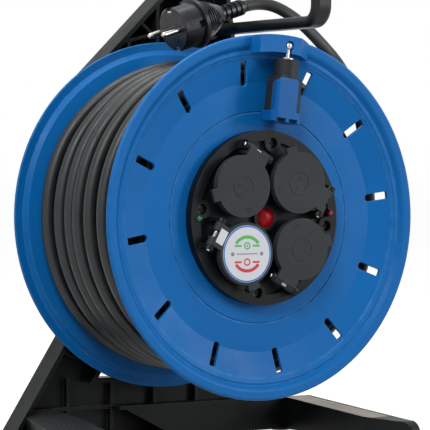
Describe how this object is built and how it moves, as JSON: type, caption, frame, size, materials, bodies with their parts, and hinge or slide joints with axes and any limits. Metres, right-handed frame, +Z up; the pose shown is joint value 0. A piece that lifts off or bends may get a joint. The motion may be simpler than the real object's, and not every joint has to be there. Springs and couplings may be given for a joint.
{
  "type": "extension cord reel",
  "caption": "Cable drum on an upright frame, with a socket insert under sprung lids, a folding crank, a carrying handle and a parked plug.",
  "frame": {"origin": "Centre of the underside of the overall box, without the free cable and plug; z = 0 is the floor.", "axes": "+Z up, +X to the right seen from the socket side, +Y from the socket side to the frame panel."},
  "size_m": [0.304, 0.2044, 0.436],
  "materials": {
    "frame_plastic": "moulded, fine grain",
    "grip_rubber": "soft grip sleeve",
    "steel": "zinc plated",
    "plug_rubber": "moulded, smooth",
    "cable_rubber": "worn smooth",
    "pin_nickel": "nickel plated",
    "brass": "bright",
    "drum_plastic": "moulded, satin gloss",
    "bush_plastic": "self-lubricating",
    "insert_plastic": "moulded, half gloss",
    "seal_rubber": "soft",
    "terminal_plastic": "plain",
    "led_green": "tinted lens",
    "led_red": "tinted lens",
    "label_film": "printed film",
    "button_plastic": "domed",
    "grip_black": "fine grain"
  },
  "bodies": {
    "frame": {"frame_panel": "frame_plastic", "foot_left": "frame_plastic", "foot_right": "frame_plastic", "rubber_feet": "seal_rubber", "frame_screws": "steel", "handle_loop": "frame_plastic", "handle_grip": "grip_rubber", "handle_screws": "steel", "axle": "steel", "axle_washer": "steel", "axle_clip": "steel", "hub_cap": "frame_plastic", "cord_free": "cable_rubber", "plug_body": "plug_rubber", "plug_relief": "plug_rubber", "plug_pins": "pin_nickel", "plug_earth_contacts": "brass"},
    "drum": {"front_flange": "drum_plastic", "back_flange": "drum_plastic", "barrel": "drum_plastic", "drum_bush": "bush_plastic", "flange_screws": "steel", "winding_core": "cable_rubber", "winding_outer": "cable_rubber", "lead_grommet": "seal_rubber", "inner_lead": "cable_rubber", "housing_gland": "insert_plastic", "socket_plate": "insert_plastic", "plate_gasket": "seal_rubber", "plate_screws": "steel", "socket_cups": "insert_plastic", "pin_contacts": "brass", "earth_clips": "pin_nickel", "insert_housing": "insert_plastic", "terminal_block": "terminal_plastic", "thermal_switch": "insert_plastic", "led_green": "led_green", "led_red": "led_red", "lid_pins": "steel", "lid_springs": "steel", "crank_fold_pin": "steel"},
    "lid_1": {"lid_1": "insert_plastic"},
    "lid_2": {"lid_2": "insert_plastic"},
    "lid_3": {"lid_3": "insert_plastic", "lid_label": "label_film"},
    "lid_4": {"lid_4": "insert_plastic"},
    "reset": {"reset_button": "button_plastic"},
    "crank_arm": {"crank_ball": "pin_nickel", "crank_pin": "pin_nickel", "crank_washer": "pin_nickel"},
    "crank_grip": {"grip_body": "grip_black", "grip_shell": "drum_plastic"}
  },
  "joints": [
    {"name": "drum_spin", "type": "hinge", "parent": "frame", "child": "drum", "pos_m": [0, -0.085, 0.19], "axis": [0, 1, 0], "continuous": true},
    {"name": "lid_1_hinge", "type": "hinge", "parent": "drum", "child": "lid_1", "pos_m": [0.05187, -0.0915, 0.20229], "axis": [0.5, 0, 0.866], "range_deg": [0, 105], "stiffness_Nm_per_rad": 0.006, "springref_deg": -60.16},
    {"name": "lid_2_hinge", "type": "hinge", "parent": "drum", "child": "lid_2", "pos_m": [-0.01229, -0.0915, 0.24187], "axis": [-0.866, 0, 0.5], "range_deg": [0, 105], "stiffness_Nm_per_rad": 0.006, "springref_deg": -60.16},
    {"name": "lid_3_hinge", "type": "hinge", "parent": "drum", "child": "lid_3", "pos_m": [-0.05187, -0.0915, 0.17771], "axis": [-0.5, 0, -0.866], "range_deg": [0, 105], "stiffness_Nm_per_rad": 0.006, "springref_deg": -60.16},
    {"name": "lid_4_hinge", "type": "hinge", "parent": "drum", "child": "lid_4", "pos_m": [0.01229, -0.0915, 0.13813], "axis": [0.866, 0, -0.5], "range_deg": [0, 105], "stiffness_Nm_per_rad": 0.006, "springref_deg": -60.16},
    {"name": "reset_press", "type": "slide", "parent": "drum", "child": "reset", "axis": [0, 1, 0], "range_m": [0, 0.0025], "stiffness_N_per_m": 1200, "springref_m": -0.002},
    {"name": "crank_fold", "type": "hinge", "parent": "drum", "child": "crank_arm", "pos_m": [0.0167, -0.092, 0.32598], "axis": [-0.9925, 0, 0.1219], "range_deg": [0, 90]},
    {"name": "crank_spin", "type": "hinge", "parent": "crank_arm", "child": "crank_grip", "pos_m": [0.0167, -0.092, 0.32598], "axis": [0.1219, 0, 0.9925], "continuous": true}
  ]
}
